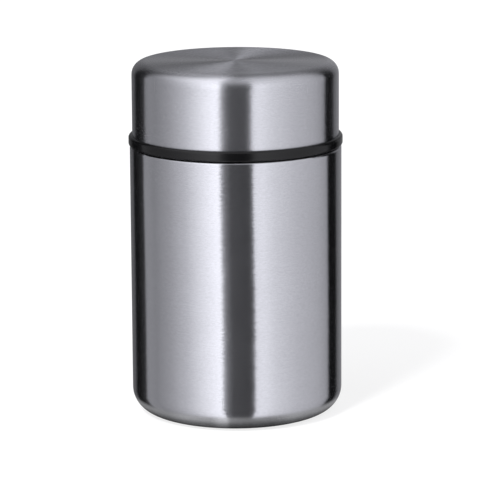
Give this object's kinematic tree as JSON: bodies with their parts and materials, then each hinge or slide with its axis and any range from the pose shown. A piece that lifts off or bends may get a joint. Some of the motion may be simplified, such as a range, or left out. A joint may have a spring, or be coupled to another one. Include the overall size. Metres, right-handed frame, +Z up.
{
  "type": "insulated food jar",
  "caption": "Double-walled stainless food jar with a screw-on cup cap, a screw stopper inside and a press-to-vent valve in the stopper.",
  "frame": {"origin": "centre of the foot ring, on the surface the jar stands on", "axes": "+Z up along the jar's axis, +X and +Y level; the jar is round, so they are free"},
  "size_m": [0.091, 0.091, 0.1512],
  "materials": {
    "brushed_wall": "brushed round the axis",
    "brushed_cap": "brushed round the axis, top turned",
    "plain_steel": "mill finish",
    "food_steel": "electropolished satin",
    "spring_steel": "drawn wire",
    "copper_foil": "bright copper foil",
    "getter_metal": "sintered pellet",
    "solder_glass": "fused solder glass",
    "black_plastic": "fine satin mould texture",
    "grey_plastic": "fine satin mould texture",
    "foam": "rigid foam",
    "black_silicone": "soft matte",
    "clear_silicone": "soft translucent"
  },
  "bodies": {
    "vessel": {"outer_shell": "brushed_wall", "outer_base": "brushed_wall", "base_cover": "plain_steel", "vacuum_seal": "solder_glass", "inner_vessel": "food_steel", "radiation_foil": "copper_foil", "getter": "getter_metal", "getter_clip": "plain_steel"},
    "stopper_gasket": {"stopper_gasket": "clear_silicone"},
    "stopper": {"stopper_body": "black_plastic", "stopper_cover": "black_plastic", "stopper_insulation": "foam", "valve_spring": "spring_steel"},
    "valve": {"valve_button": "grey_plastic", "valve_stem": "grey_plastic", "valve_seal": "clear_silicone"},
    "cap_seal": {"cap_seal": "black_silicone"},
    "cap": {"cap_shell": "brushed_cap", "cap_ring": "black_plastic", "cap_liner": "black_plastic", "cap_insulation": "foam"}
  },
  "joints": [
    {"name": "stopper_lift", "type": "slide", "parent": "vessel", "child": "stopper_gasket", "axis": [0, 0, 1], "range_m": [0, 0.1]},
    {"name": "stopper_turn", "type": "hinge", "parent": "stopper_gasket", "child": "stopper", "pos_m": [0, 0, 0.12], "axis": [0, 0, 1], "range_deg": [0, 405]},
    {"name": "valve_press", "type": "slide", "parent": "stopper", "child": "valve", "axis": [0, 0, -1], "range_m": [0, 0.0025], "stiffness_N_per_m": 400, "springref_m": -0.002, "deforming": ["valve_spring"]},
    {"name": "cap_lift", "type": "slide", "parent": "stopper_gasket", "child": "cap_seal", "axis": [0, 0, 1], "range_m": [0, 0.07]},
    {"name": "cap_turn", "type": "hinge", "parent": "cap_seal", "child": "cap", "pos_m": [0, 0, 0.135], "axis": [0, 0, 1], "range_deg": [0, 450]}
  ]
}
